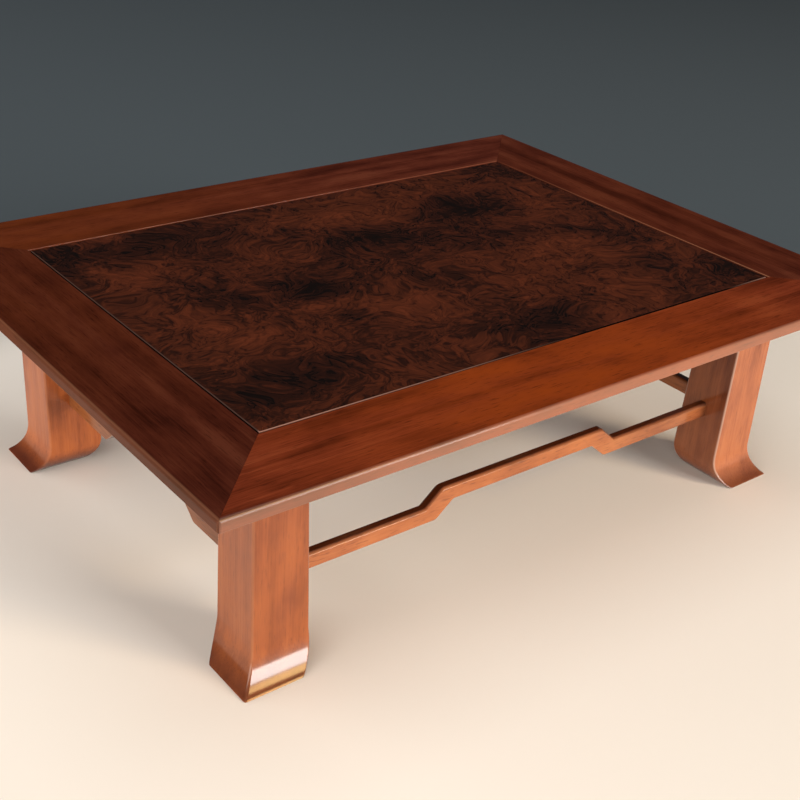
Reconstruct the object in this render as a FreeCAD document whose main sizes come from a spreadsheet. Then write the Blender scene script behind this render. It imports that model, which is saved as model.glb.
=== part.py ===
# Bonsai stand: a mitred frame-and-panel top on four flared legs,
# tied together by hidden aprons and thin humpback stretchers.
# Millimetres. X runs along the long side, Y from front to back, Z up.
# The origin is on the floor under the middle of the top.
import FreeCAD, Part
import Sketcher
import math
import os
from types import SimpleNamespace
from FreeCAD import Placement, Rotation, Vector

os.makedirs("parts", exist_ok=True)
doc = FreeCAD.newDocument("bonsai_stand")

# Driving dimensions, one spreadsheet cell each
DIMENSIONS = {
    "top_length": 400.0,             # long side of the top
    "top_depth": 302.0,              # short side of the top
    "stand_height": 118.0,           # floor to the top surface
    "frame_face": 43.7,              # frame width that shows from above
    "frame_ledge": 22.0,             # frame width hidden under the panel
    "frame_thickness": 18.0,         # frame at its thickest
    "edge_thickness": 5.8,           # frame at its undercut outer edge
    "bevel_run": 30.0,               # width of the undercut
    "edge_round": 2.2,               # rounding of the upper outer edge
    "edge_ease": 0.5,                # rounding of the lower outer edge
    "corner_chamfer": 1.2,           # chamfer of the frame's upright corners
    "inner_ease": 0.4,               # rounding of the frame's inner upper edge
    "ledge_depth": 11.0,             # top surface down to the ledge
    "groove_height": 4.0,            # groove for the panel's tongue
    "groove_reach": 6.0,             # groove depth into the frame
    "panel_reveal": 1.0,             # open gap round the panel
    "panel_recess": 0.3,             # panel surface below the frame's
    "panel_ease": 0.5,               # rounding of the panel's upper edge
    "tongue_play": 1.0,              # room for the tongue to swell
    "spline_inset": 28.0,            # spline centre from both outer edges
    "spline_length": 22.0,           # spline along the mitre
    "spline_width": 16.0,            # spline across the mitre
    "spline_thickness": 3.0,
    "spline_depth": 7.0,             # top surface down to the spline
    "batten_spacing": 104.0,         # between the two battens' centres
    "batten_width": 16.0,
    "batten_tenon_width": 10.0,
    "batten_tenon_thickness": 3.0,
    "batten_tenon_length": 6.0,
    "leg_head_width": 26.6,          # square section at the top of the leg
    "leg_foot_width": 29.0,          # square section where the heel starts
    "leg_inset": 38.0,               # top's outer edge to the leg's outer face
    "leg_ease": 0.8,                 # chamfer of the leg's long edges
    "flare_height": 19.0,            # floor to the start of the outer flare
    "flare_radius": 24.0,            # hollow outer curve of the foot
    "heel_height": 15.2,             # floor to the start of the inner curve
    "heel_radius": 17.0,             # rounded inner curve of the foot
    "apron_height": 17.0,
    "apron_thickness": 10.0,
    "apron_setback": 2.0,            # leg's outer face to the apron's
    "apron_tenon_thickness": 5.0,
    "apron_tenon_shoulder": 4.0,     # above and below the apron's tenon
    "stretcher_floor_gap": 38.2,     # floor to the stretcher's low ends
    "stretcher_height": 7.9,         # stretcher at its low ends
    "stretcher_thickness": 5.6,
    "stretcher_setback": 12.2,       # leg's outer face to the stretcher's
    "stretcher_tenon_thickness": 3.4,
    "stretcher_tenon_shoulder": 1.0,  # above and below the stretcher's tenon
    "stretcher_ease": 1.2,           # chamfer of the stretcher's upper edges
    "hump_rise": 8.3,                # lift of the underside in the middle
    "hump_height": 7.9,              # stretcher's height in the middle
    "hump_ramp": 9.8,                # length over which the hump rises
    "hump_lead": 6.4,                # upper ramp starts this much further out
    "hump_round": 3.0,               # rounding of the ramps' corners
    "long_hump": 91.0,               # raised underside of the long stretchers
    "short_hump": 67.0,              # raised underside of the short stretchers
    "tenon_web": 2.0,                # wood left between tenons that meet in a leg
    "button_spacing": 150.0,         # between the buttons of a long apron
    "button_width": 14.0,
    "button_length": 14.0,
    "button_thickness": 9.0,
    "button_tongue_length": 4.5,
    "button_tongue_thickness": 5.0,
    "screw_head": 6.4,
    "screw_shank": 3.0,
    "screw_length": 14.0,
    "screw_tip": 3.0,
    "fit_gap": 0.1,                  # play on each side of a tenon or a spline
    "end_gap": 0.5,                  # play at the end of a tenon or a tongue
    "cut_margin": 5.0,               # how far cutting shapes reach past the wood
}


class Size:
    # A number together with the formula that gives it from the cells
    def __init__(self, formula, number):
        self.formula = formula
        self.number = number

    def __add__(self, other):
        return combine(self, "+", other, lambda a, b: a + b)

    def __sub__(self, other):
        return combine(self, "-", other, lambda a, b: a - b)

    def __mul__(self, other):
        return combine(self, "*", other, lambda a, b: a * b)

    def __truediv__(self, other):
        return combine(self, "/", other, lambda a, b: a / b)

    def __neg__(self):
        return self * -1

    def root(self):
        return Size(f"sqrt({self.formula})", math.sqrt(self.number))


def as_size(value):
    return value if isinstance(value, Size) else Size(f"({value})", value)


def combine(left, sign, right, work):
    right = as_size(right)
    formula = f"({left.formula} {sign} {right.formula})"
    return Size(formula, work(left.number, right.number))


sheet = doc.addObject("Spreadsheet::Sheet", "sizes")
s = SimpleNamespace()
for row, (name, number) in enumerate(DIMENSIONS.items(), start=1):
    sheet.set(f"A{row}", name)
    sheet.set(f"B{row}", str(number))
    sheet.setAlias(f"B{row}", name)
    setattr(s, name, Size(f"sizes.{name}", number))
doc.recompute()

zero = as_size(0.0)

# Heights and places that several pieces share
frame_stock = s.frame_face + s.frame_ledge
frame_underside = s.stand_height - s.frame_thickness
ledge_level = s.stand_height - s.ledge_depth
leg_span_x = s.top_length / 2 - s.leg_inset
leg_span_y = s.top_depth / 2 - s.leg_inset
apron_inner = s.apron_setback + s.apron_thickness
apron_tenon_inner = s.apron_setback + (s.apron_thickness + s.apron_tenon_thickness) / 2
stretcher_tenon_inner = s.stretcher_setback + (s.stretcher_thickness + s.stretcher_tenon_thickness) / 2
leg_lean = (s.leg_foot_width - s.leg_head_width) / (frame_underside - s.heel_height)
spline_level = s.stand_height - s.spline_depth
batten_tenon_level = (ledge_level + frame_underside + s.batten_tenon_thickness) / 2
button_hole_inset = s.button_length / 2

# Each side with its length and the top's width across it. All are drawn as the front one,
# and each next side is a quarter turn further about the middle of the top.
SIDES = {
    "front": (s.top_length, s.top_depth),
    "right": (s.top_depth, s.top_length),
    "back": (s.top_length, s.top_depth),
    "left": (s.top_depth, s.top_length),
}
LONG_SIDES = ("front", "back")

# Legs are drawn as the back right one, and each next one is a quarter turn further
CORNERS = ("back_right", "back_left", "front_left", "front_right")


def side_turns(side):
    return list(SIDES).index(side)


def corner_signs(corner):
    return (1 if "right" in corner else -1), (1 if "back" in corner else -1)


def bind(owner, path, size):
    owner.setExpression(path, as_size(size).formula)


def new_body(label, turns=0, place=None):
    body = doc.addObject("PartDesign::Body", label)
    body.Label = label
    body.Placement = Placement(Vector(), Rotation(Vector(0, 0, 1), 90 * turns))
    if place:
        bind(body, "Placement.Base.x", place[0])
        bind(body, "Placement.Base.y", place[1])
        bind(body, "Placement.Base.z", place[2])
    return body


def sketch_on(body, role, offset=zero):
    # The offset runs along the plane's own normal: +Z, -Y or +X
    plane = next(item for item in body.Origin.OriginFeatures if item.Role == role)
    sketch = body.newObject("Sketcher::SketchObject", "sketch")
    sketch.AttachmentSupport = [(plane, "")]
    sketch.MapMode = "FlatFace"
    bind(sketch, "AttachmentOffset.Base.z", offset)
    return sketch


def constrain(sketch, kind, *where, size):
    index = sketch.addConstraint(Sketcher.Constraint(kind, *where, size.number))
    bind(sketch, f"Constraints[{index}]", size)


def pin_point(sketch, geometry, end, across, up):
    constrain(sketch, "DistanceX", -1, 1, geometry, end, size=across)
    constrain(sketch, "DistanceY", -1, 1, geometry, end, size=up)


def close_loop(sketch, first, count):
    for step in range(count):
        following = first + (step + 1) % count
        sketch.addConstraint(Sketcher.Constraint("Coincident", first + step, 2, following, 1))


def polygon(sketch, corners):
    corners = [(as_size(across), as_size(up)) for across, up in corners]
    points = [Vector(across.number, up.number, 0) for across, up in corners]
    first = sketch.GeometryCount
    for start, end in zip(points, points[1:] + points[:1]):
        sketch.addGeometry(Part.LineSegment(start, end))
    close_loop(sketch, first, len(points))
    for step, (across, up) in enumerate(corners):
        pin_point(sketch, first + step, 1, across, up)


def rectangle(sketch, left, right, low, high):
    polygon(sketch, [(left, low), (right, low), (right, high), (left, high)])


def circle(sketch, across, up, diameter):
    centre = Vector(as_size(across).number, as_size(up).number, 0)
    index = sketch.addGeometry(Part.Circle(centre, Vector(0, 0, 1), diameter.number / 2))
    pin_point(sketch, index, 3, as_size(across), as_size(up))
    constrain(sketch, "Diameter", index, size=diameter)


def pad(body, sketch, length, side="One side", backwards=False):
    feature = body.newObject("PartDesign::Pad", "pad")
    feature.Profile = sketch
    feature.SideType = side
    feature.Reversed = backwards
    bind(feature, "Length", length)
    doc.recompute()
    return feature


def pocket(body, sketch, depth=None, side="One side", backwards=False):
    before = body.Shape.Volume
    feature = body.newObject("PartDesign::Pocket", "pocket")
    feature.Profile = sketch
    feature.SideType = side
    feature.Reversed = backwards
    if depth is None:
        feature.Type = "ThroughAll"
    else:
        bind(feature, "Length", depth)
    doc.recompute()
    if body.Shape.Volume >= before:
        raise RuntimeError(f"a cut in {body.Label} removes nothing")
    return feature


def dress_edges(body, kind, path, size, wanted):
    base = body.Tip
    names = [f"Edge{index}" for index, edge in enumerate(base.Shape.Edges, start=1) if wanted(edge)]
    if not names:
        raise RuntimeError(f"no edge to dress in {body.Label}")
    feature = body.newObject(f"PartDesign::{kind}", kind.lower())
    feature.Base = (base, names)
    bind(feature, path, size)
    doc.recompute()


def round_edges(body, radius, wanted):
    dress_edges(body, "Fillet", "Radius", radius, wanted)


def chamfer_edges(body, size, wanted):
    dress_edges(body, "Chamfer", "Size", size, wanted)


def lies_at(edge, **places):
    # True where every vertex of the edge has the given coordinates
    tolerance = 1e-4
    return all(
        abs(getattr(vertex.Point, axis) - size.number) < tolerance
        for vertex in edge.Vertexes
        for axis, size in places.items()
    )


def is_round(edge):
    return isinstance(edge.Curve, Part.Circle)


def spline_outline(centre_x, centre_y, lean, play):
    # A rectangle along the mitre: lean is +1 at a left end of a front member, -1 at a right end
    along = (s.spline_length / 2 + play) * math.sqrt(0.5)
    across = (s.spline_width / 2 + play) * math.sqrt(0.5)
    return [
        (centre_x + (along + across) * lean, centre_y + along - across),
        (centre_x + (along - across) * lean, centre_y + along + across),
        (centre_x - (along + across) * lean, centre_y - along + across),
        (centre_x - (along - across) * lean, centre_y - along - across),
    ]


def button_places(side):
    if side in LONG_SIDES:
        return [-s.button_spacing / 2, s.button_spacing / 2]
    return [zero]


def make_frame_member(side):
    along, across = SIDES[side]
    body = new_body(f"frame_{side}", side_turns(side))
    outer = -across / 2
    inner = outer + s.frame_face
    stock = outer + frame_stock
    top = s.stand_height
    lip = ledge_level + s.groove_height
    groove = inner - s.groove_reach
    section = sketch_on(body, "YZ_Plane")
    polygon(section, [
        (outer, top), (inner, top), (inner, lip),
        (groove, lip), (groove, ledge_level), (stock, ledge_level), (stock, frame_underside),
        (outer + s.bevel_run, frame_underside), (outer, top - s.edge_thickness),
    ])
    pad(body, section, along, "Symmetric")
    round_edges(body, s.edge_round, lambda edge: lies_at(edge, y=outer, z=top))
    round_edges(body, s.edge_ease, lambda edge: lies_at(edge, y=outer, z=top - s.edge_thickness))
    round_edges(body, s.inner_ease, lambda edge: lies_at(edge, y=inner, z=top))

    # 45 degree mitres at both ends, each with its half of the corner's chamfer
    mitres = sketch_on(body, "XY_Plane", top + s.cut_margin)
    reach = frame_stock + s.cut_margin
    half_chamfer = s.corner_chamfer / 2
    for lean in (1, -1):
        end = along / 2 * -lean
        polygon(mitres, [
            (end - s.cut_margin * lean, outer - s.cut_margin),
            (end + (s.corner_chamfer + s.cut_margin) * lean, outer - s.cut_margin),
            (end + half_chamfer * lean, outer + half_chamfer),
            (end + reach * lean, outer + reach),
            (end - s.cut_margin * lean, outer + reach),
        ])
    pocket(body, mitres)

    # Half of each corner's spline slot
    slots = sketch_on(body, "XY_Plane", spline_level + s.fit_gap)
    for lean in (1, -1):
        centre = (along / 2 - s.spline_inset) * -lean
        polygon(slots, spline_outline(centre, outer + s.spline_inset, lean, s.fit_gap))
    pocket(body, slots, s.spline_thickness + s.fit_gap * 2)

    # Pilot holes for the button screws
    pilots = sketch_on(body, "XY_Plane", frame_underside)
    seat = outer + s.leg_inset + apron_inner + button_hole_inset
    for place in button_places(side):
        circle(pilots, place, seat, s.screw_shank + s.fit_gap * 2)
    pocket(body, pilots, s.screw_length - s.button_thickness + s.end_gap, backwards=True)

    # Mortises for the battens in the long members' ledges
    if side in LONG_SIDES:
        mortises = sketch_on(body, "XY_Plane", batten_tenon_level + s.fit_gap)
        half = s.batten_tenon_width / 2 + s.fit_gap
        for lean in (1, -1):
            centre = s.batten_spacing / 2 * lean
            rectangle(mortises, centre - half, centre + half,
                      stock - s.batten_tenon_length - s.end_gap, stock + s.cut_margin)
        pocket(body, mortises, s.batten_tenon_thickness + s.fit_gap * 2)
    return body


def make_mitre_spline(corner):
    body = new_body(f"mitre_spline_{corner}")
    lean_x, lean_y = corner_signs(corner)
    outline = sketch_on(body, "XY_Plane", spline_level)
    centre_x = (s.top_length / 2 - s.spline_inset) * lean_x
    centre_y = (s.top_depth / 2 - s.spline_inset) * lean_y
    polygon(outline, spline_outline(centre_x, centre_y, lean_x * lean_y, zero))
    pad(body, outline, s.spline_thickness, backwards=True)
    return body


def make_burl_panel():
    body = new_body("burl_panel")
    open_x = s.top_length / 2 - s.frame_face
    open_y = s.top_depth / 2 - s.frame_face
    board_x = open_x - s.panel_reveal
    board_y = open_y - s.panel_reveal
    tongue = s.groove_reach - s.tongue_play
    board = sketch_on(body, "XY_Plane", ledge_level)
    rectangle(board, -board_x, board_x, -board_y, board_y)
    surface = s.ledge_depth - s.panel_recess
    pad(body, board, surface)
    level = ledge_level + surface
    round_edges(body, s.panel_ease, lambda edge: lies_at(edge, z=level))
    edge = sketch_on(body, "XY_Plane", ledge_level)
    rectangle(edge, -(open_x + tongue), open_x + tongue, -(open_y + tongue), open_y + tongue)
    pad(body, edge, s.groove_height - s.fit_gap * 2)
    return body


def make_panel_batten(label, lean):
    body = new_body(label)
    centre = s.batten_spacing / 2 * lean
    half_span = s.top_depth / 2 - frame_stock
    half_width = s.batten_width / 2
    half_tenon = s.batten_tenon_width / 2
    bar = sketch_on(body, "XY_Plane", frame_underside)
    rectangle(bar, centre - half_width, centre + half_width, -half_span, half_span)
    pad(body, bar, ledge_level - frame_underside)
    tenons = sketch_on(body, "XY_Plane", batten_tenon_level)
    reach = half_span + s.batten_tenon_length
    rectangle(tenons, centre - half_tenon, centre + half_tenon, -reach, reach)
    pad(body, tenons, s.batten_tenon_thickness, backwards=True)
    return body


def leg_width_at(height):
    # The inner faces lean, so the leg is wider towards the foot
    return s.leg_head_width + leg_lean * (frame_underside - height)


def leg_outline(sketch):
    # Upright outer face, hollow flare, flat sole, rounded heel, leaning inner face.
    # The outer face is at 0, and the flare runs to the positive side.
    top = frame_underside
    head = -s.leg_head_width
    foot = -s.leg_foot_width
    toe = s.flare_radius - (s.flare_radius * s.flare_radius - s.flare_height * s.flare_height).root()
    slant = (leg_lean * leg_lean + 1).root()
    heel_across = foot + s.heel_radius / slant
    heel_up = s.heel_height - s.heel_radius * leg_lean / slant
    heel = heel_across - (s.heel_radius * s.heel_radius - heel_up * heel_up).root()
    upright = Vector(0, 0, 1)

    def point(across, up):
        return Vector(across.number, up.number, 0)

    flare = Part.Circle(point(s.flare_radius, s.flare_height), upright, s.flare_radius.number)
    flare_end = math.pi + math.asin(s.flare_height.number / s.flare_radius.number)
    rounding = Part.Circle(point(heel_across, heel_up), upright, s.heel_radius.number)
    rounding_start = math.pi - math.atan(leg_lean.number)
    rounding_end = math.pi + math.asin(heel_up.number / s.heel_radius.number)
    first = sketch.GeometryCount
    sketch.addGeometry(Part.LineSegment(point(head, top), point(zero, top)))
    sketch.addGeometry(Part.LineSegment(point(zero, top), point(zero, s.flare_height)))
    sketch.addGeometry(Part.ArcOfCircle(flare, math.pi, flare_end))
    sketch.addGeometry(Part.LineSegment(point(toe, zero), point(heel, zero)))
    sketch.addGeometry(Part.ArcOfCircle(rounding, rounding_start, rounding_end))
    sketch.addGeometry(Part.LineSegment(point(foot, s.heel_height), point(head, top)))
    top_line, outer_line, flare_arc, sole, heel_arc, inner_line = range(first, first + 6)
    for one, end, other, start in (
        (top_line, 2, outer_line, 1), (outer_line, 2, flare_arc, 1), (flare_arc, 2, sole, 1),
        (sole, 2, heel_arc, 2), (heel_arc, 1, inner_line, 1), (inner_line, 2, top_line, 1),
    ):
        sketch.addConstraint(Sketcher.Constraint("Coincident", one, end, other, start))
    pin_point(sketch, top_line, 1, head, top)
    pin_point(sketch, top_line, 2, zero, top)
    pin_point(sketch, outer_line, 2, zero, s.flare_height)
    pin_point(sketch, inner_line, 1, foot, s.heel_height)
    pin_point(sketch, sole, 1, toe, zero)
    pin_point(sketch, sole, 2, heel, zero)
    constrain(sketch, "Radius", flare_arc, size=s.flare_radius)
    constrain(sketch, "Radius", heel_arc, size=s.heel_radius)


def make_leg(corner):
    # Sawn to the same outline from two sides. The outer corner is at the leg's own origin.
    lean_x, lean_y = corner_signs(corner)
    place = (leg_span_x * lean_x, leg_span_y * lean_y, zero)
    body = new_body(f"leg_{corner}", CORNERS.index(corner), place)
    reach = s.leg_foot_width + s.flare_radius + s.cut_margin
    first_cut = sketch_on(body, "XZ_Plane")
    leg_outline(first_cut)
    pad(body, first_cut, reach * 2, "Symmetric")
    second_cut = sketch_on(body, "YZ_Plane")
    rectangle(second_cut, -reach - s.cut_margin, reach + s.cut_margin,
              -s.cut_margin, frame_underside + s.cut_margin)
    leg_outline(second_cut)
    pocket(body, second_cut, side="Symmetric")

    def is_long_edge(edge):
        heights = [vertex.Point.z for vertex in edge.Vertexes]
        return max(heights) - min(heights) > s.leg_ease.number

    chamfer_edges(body, s.leg_ease, is_long_edge)

    # Mortises in both inner faces, for an apron above and a stretcher below
    apron_low = frame_underside - s.apron_height + s.apron_tenon_shoulder
    cut_mortises(body, apron_tenon_inner, s.apron_tenon_thickness,
                 apron_low, s.apron_height - s.apron_tenon_shoulder * 2)
    stretcher_low = s.stretcher_floor_gap + s.stretcher_tenon_shoulder
    cut_mortises(body, stretcher_tenon_inner, s.stretcher_tenon_thickness,
                 stretcher_low, s.stretcher_height - s.stretcher_tenon_shoulder * 2)
    return body


def cut_mortises(body, tenon_inner, thickness, low, height):
    # Two mortises at one height, whose tenons end a web apart
    sketch = sketch_on(body, "XY_Plane", low + height + s.fit_gap)
    near = -(tenon_inner + s.fit_gap)
    far = -(tenon_inner - thickness - s.fit_gap)
    start = -(s.leg_foot_width + s.cut_margin)
    end = -(tenon_inner + s.tenon_web - s.end_gap)
    rectangle(sketch, start, end, near, far)
    rectangle(sketch, near, far, start, end)
    pocket(body, sketch, height + s.fit_gap * 2)


def half_span_at(along, height):
    # Middle of a side to the inner face of its legs
    return along / 2 - s.leg_inset - leg_width_at(height)


def add_tenons(body, along, outer_face, thickness, tenon, tenon_inner, low, high):
    # A tenon in the middle of the thickness at both ends, rooted in the rail
    sketch = sketch_on(body, "XZ_Plane", outer_face - (thickness - tenon) / 2)
    root = half_span_at(along, low) - s.cut_margin
    reach = along / 2 - s.leg_inset - tenon_inner - s.tenon_web
    rectangle(sketch, -reach, -root, low, high)
    rectangle(sketch, root, reach, low, high)
    pad(body, sketch, tenon, backwards=True)


def make_apron(side):
    along, across = SIDES[side]
    body = new_body(f"apron_{side}", side_turns(side))
    outer_face = across / 2 - s.leg_inset - s.apron_setback
    low = frame_underside - s.apron_height
    board = sketch_on(body, "XZ_Plane", outer_face)
    low_end = half_span_at(along, low)
    high_end = half_span_at(along, frame_underside)
    polygon(board, [
        (-low_end, low), (low_end, low), (high_end, frame_underside), (-high_end, frame_underside),
    ])
    pad(body, board, s.apron_thickness, backwards=True)

    # Slots that take the buttons' tongues, open to the inner face
    tongue_top = frame_underside - s.button_thickness + s.button_tongue_thickness
    slots = sketch_on(body, "XY_Plane", tongue_top)
    inner_face = -outer_face + s.apron_thickness
    half_slot = s.button_width / 2 + s.end_gap
    for place in button_places(side):
        rectangle(slots, place - half_slot, place + half_slot,
                  inner_face - s.button_tongue_length - s.end_gap, inner_face + s.cut_margin)
    pocket(body, slots, s.button_tongue_thickness + s.end_gap)
    add_tenons(body, along, outer_face, s.apron_thickness, s.apron_tenon_thickness, apron_tenon_inner,
               low + s.apron_tenon_shoulder, frame_underside - s.apron_tenon_shoulder)
    return body


def make_stretcher(side):
    along, across = SIDES[side]
    body = new_body(f"stretcher_{side}", side_turns(side))
    outer_face = across / 2 - s.leg_inset - s.stretcher_setback
    hump = (s.long_hump if side in LONG_SIDES else s.short_hump) / 2
    shoulder = hump + s.hump_lead
    low = s.stretcher_floor_gap
    high = low + s.stretcher_height
    crown = low + s.hump_rise + s.hump_height
    lower_ramp = [(hump, low + s.hump_rise), (hump + s.hump_ramp, low)]
    end = [(half_span_at(along, low), low), (half_span_at(along, high), high)]
    upper_ramp = [(shoulder + s.hump_ramp, high), (shoulder, crown)]
    right_half = lower_ramp + end + upper_ramp
    left_half = [(-distance, height) for distance, height in reversed(right_half)]
    board = sketch_on(body, "XZ_Plane", outer_face)
    polygon(board, right_half + left_half)
    pad(body, board, s.stretcher_thickness, backwards=True)

    def is_ramp_corner(edge):
        return any(lies_at(edge, x=distance * lean, z=height)
                   for distance, height in lower_ramp + upper_ramp for lean in (1, -1))

    round_edges(body, s.hump_round, is_ramp_corner)

    def is_upper_edge(edge):
        # Lengthways edges on the upper side, told by a point just below that is still in the wood
        first, last = edge.Vertexes[0].Point, edge.Vertexes[-1].Point
        if abs(first.x - last.x) < s.fit_gap.number:
            return False
        middle = edge.valueAt((edge.FirstParameter + edge.LastParameter) / 2)
        below = Vector(middle.x, middle.y, middle.z - s.stretcher_height.number / 2)
        return board_solid.isInside(below, s.fit_gap.number, True)

    board_solid = body.Tip.Shape
    chamfer_edges(body, s.stretcher_ease, is_upper_edge)
    add_tenons(body, along, outer_face, s.stretcher_thickness, s.stretcher_tenon_thickness,
               stretcher_tenon_inner, low + s.stretcher_tenon_shoulder, high - s.stretcher_tenon_shoulder)
    return body


def behind_apron(side, place, inset):
    # Where a point lies that is the given place along a side's apron and inset behind its inner face
    _, across = SIDES[side]
    x = place
    y = inset - (across / 2 - s.leg_inset - apron_inner)
    for _ in range(side_turns(side)):
        x, y = -y, x
    return x, y


def make_button(label, side, place):
    x, y = behind_apron(side, place, zero)
    body = new_body(label, side_turns(side), (x, y, frame_underside))
    tongue_top = s.button_tongue_thickness - s.button_thickness
    outline = sketch_on(body, "YZ_Plane")
    polygon(outline, [
        (s.fit_gap, 0.0), (s.fit_gap, tongue_top), (-s.button_tongue_length, tongue_top),
        (-s.button_tongue_length, -s.button_thickness), (s.button_length, -s.button_thickness),
        (s.button_length, 0.0),
    ])
    pad(body, outline, s.button_width, "Symmetric")
    hole = sketch_on(body, "XY_Plane", s.cut_margin)
    circle(hole, zero, button_hole_inset, s.screw_shank + s.fit_gap * 2)
    pocket(body, hole)
    sink = (s.screw_head - s.screw_shank) / 2
    under = -s.button_thickness
    chamfer_edges(body, sink, lambda edge: is_round(edge) and lies_at(edge, z=under))
    return body


def make_screw(label, side, place):
    x, y = behind_apron(side, place, button_hole_inset)
    body = new_body(label, side_turns(side), (x, y, frame_underside - s.button_thickness))
    head = s.screw_head / 2
    shank = s.screw_shank / 2
    outline = sketch_on(body, "XZ_Plane")
    polygon(outline, [
        (0.0, 0.0), (head, 0.0), (shank, head - shank), (shank, s.screw_length - s.screw_tip),
        (0.0, s.screw_length),
    ])
    feature = body.newObject("PartDesign::Revolution", "turning")
    feature.Profile = outline
    feature.ReferenceAxis = (outline, ["V_Axis"])
    feature.Angle = 360.0
    doc.recompute()
    return body


def group(label, members):
    compound = doc.addObject("Part::Compound", label)
    compound.Label = label
    compound.Links = members
    return compound


pieces = [make_frame_member(side) for side in SIDES]
pieces.append(make_burl_panel())
for lean, hand in ((-1, "left"), (1, "right")):
    pieces.append(make_panel_batten(f"panel_batten_{hand}", lean))
for corner in CORNERS:
    pieces.append(make_mitre_spline(corner))
    pieces.append(make_leg(corner))
for side in SIDES:
    pieces.append(make_apron(side))
    pieces.append(make_stretcher(side))
spots = [(side, place) for side in SIDES for place in button_places(side)]
pieces.append(group("top_buttons", [
    make_button(f"button_{index}", *spot) for index, spot in enumerate(spots, start=1)]))
pieces.append(group("button_screws", [
    make_screw(f"screw_{index}", *spot) for index, spot in enumerate(spots, start=1)]))
doc.recompute()

for item in doc.Objects:
    if "Invalid" in item.State or "Error" in item.State:
        raise RuntimeError(f"{item.Label} failed to build")
for piece in pieces:
    if piece.Shape.isNull() or not piece.Shape.isValid():
        raise RuntimeError(f"{piece.Label} has no valid shape")
for piece in pieces:
    piece.Shape.exportStep(f"parts/{piece.Label}.step")
    print(piece.Label, len(piece.Shape.Solids), "solid", round(piece.Shape.Volume, 1), "mm3")
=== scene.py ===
import math

import bmesh
import bpy
import numpy as np
from mathutils import Matrix, Vector


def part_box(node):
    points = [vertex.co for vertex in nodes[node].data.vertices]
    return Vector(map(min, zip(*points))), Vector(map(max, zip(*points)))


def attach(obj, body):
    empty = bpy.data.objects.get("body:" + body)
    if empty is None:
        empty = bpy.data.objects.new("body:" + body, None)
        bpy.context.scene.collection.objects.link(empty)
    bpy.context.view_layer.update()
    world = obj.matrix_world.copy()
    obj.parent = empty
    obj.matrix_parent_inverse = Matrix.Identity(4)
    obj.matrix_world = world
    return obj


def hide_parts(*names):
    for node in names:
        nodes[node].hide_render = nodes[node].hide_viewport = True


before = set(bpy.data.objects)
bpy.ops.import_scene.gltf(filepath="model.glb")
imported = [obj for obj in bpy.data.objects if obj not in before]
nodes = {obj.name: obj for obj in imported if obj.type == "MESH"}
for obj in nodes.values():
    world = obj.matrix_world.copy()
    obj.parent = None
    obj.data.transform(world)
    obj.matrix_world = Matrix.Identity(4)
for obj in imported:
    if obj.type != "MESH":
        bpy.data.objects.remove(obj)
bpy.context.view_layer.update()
mm = 0.001  # settings are in millimetres, the frame is in metres
hair = 1e-4  # millimetres, too little to matter when places are compared
print("frame:", len(nodes), "CAD nodes")


# sRGB hex to linear light, with the standard's straight toe and 2.4 power above it; depth scales it
def toLinear(hexColour, depth=1.0):
    srgb = np.array([int(hexColour[i:i + 2], 16) / 255 for i in (1, 3, 5)])
    linear = np.where(srgb <= 0.04045, srgb / 12.92, ((srgb + 0.055) / 1.055) ** 2.4) * depth
    return (*linear.tolist(), 1.0)


# adds one node, sets its properties, and links or sets each input; stops fill a colour ramp
def addNode(tree, kind, inputs, stops=None, **settings):
    node = tree.nodes.new(kind)
    for key, value in settings.items():
        setattr(node, key, value)
    for socket, value in inputs.items():
        if isinstance(value, bpy.types.NodeSocket):
            tree.links.new(value, node.inputs[socket])
        else:
            node.inputs[socket].default_value = value
    if stops:
        ramp = node.color_ramp
        while len(ramp.elements) < len(stops):
            ramp.elements.new(1.0)
        for element, (place, colour) in zip(ramp.elements, stops):
            element.position = place
            element.color = colour
    return node


# a new material with an empty tree, and the piece's own coordinates in it
def startMaterial(name):
    material = bpy.data.materials.new(name)
    material.use_nodes = True
    tree = material.node_tree
    tree.nodes.clear()
    return material, tree, addNode(tree, "ShaderNodeTexCoord", {}).outputs["Object"]


# Mahogany, planed, scraped and rubbed with oil and wax. Interlocked grain gives soft ribbons and
# cloudy mottle, growth layers run as finer bands, open pores show as short dark dashes, and the
# rubbed skin has a clear shine. Arrises are paler, partly worn by handling and partly a painted
# highlight. Real pores are about 0.2 mm wide and 3 mm long; here they are drawn coarser, so that they
# show.
woodSettings = dict(
    dark="#572512", deep="#6f351b", mid="#804122", light="#93512b", warm="#984f1e",
    wornAndHighlit="#ad8468", pore="#441d10",
    toneStops=dict(dark=0.38, deep=0.455, mid=0.515, light=0.6),
    toneShares=dict(ribbon=0.24, layer=0.2, fibre=0.22, mottle=0.34),
    ribbonWidth=12.0, ribbonLength=200.0, mottleWidth=15.0, mottleLength=36.0,
    fibreWidth=0.8, fibreLength=50.0, poreWidth=0.6, poreLength=7.0, layerSpacing=5.0,
    waver=9.0, waverWidth=60.0, waverLength=260.0,
    noiseDetail=dict(ribbon=2.0, mottle=3.0, fibre=3.0, pore=1.0), noiseRoughness=0.55,
    waverDetail=1.0, layerDetail=2.0,
    poreFrom=0.58, poreTo=0.75, poreShare=0.3, poreSink=1.2, wearAndHighlight=0.35,
    soakAndShadeTint=(0.95, 1.04, 1.06), bumpDepth=0.02, bumpStrength=0.6, fibreRange=(0.3, 0.7),
    roughness=(0.4, 0.5), specular=0.1, coat=0.9, coatRoughness=0.14, ior=1.5, dulls=False)
# the frame's boards are redder, their wax is thinner, and their edges are paler, partly rubbed by
# hands and partly painted sheen
frameWoodSettings = dict(
    woodSettings, dark="#3f160c", deep="#5e2616", mid="#71301d", light="#833f26", warm="#8a3b14",
    wornAndHighlit="#b8937c", pore="#2c1008", poreShare=0.5, specular=0.0, coat=0.27, wearAndHighlight=0.5, dulls=True)
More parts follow.
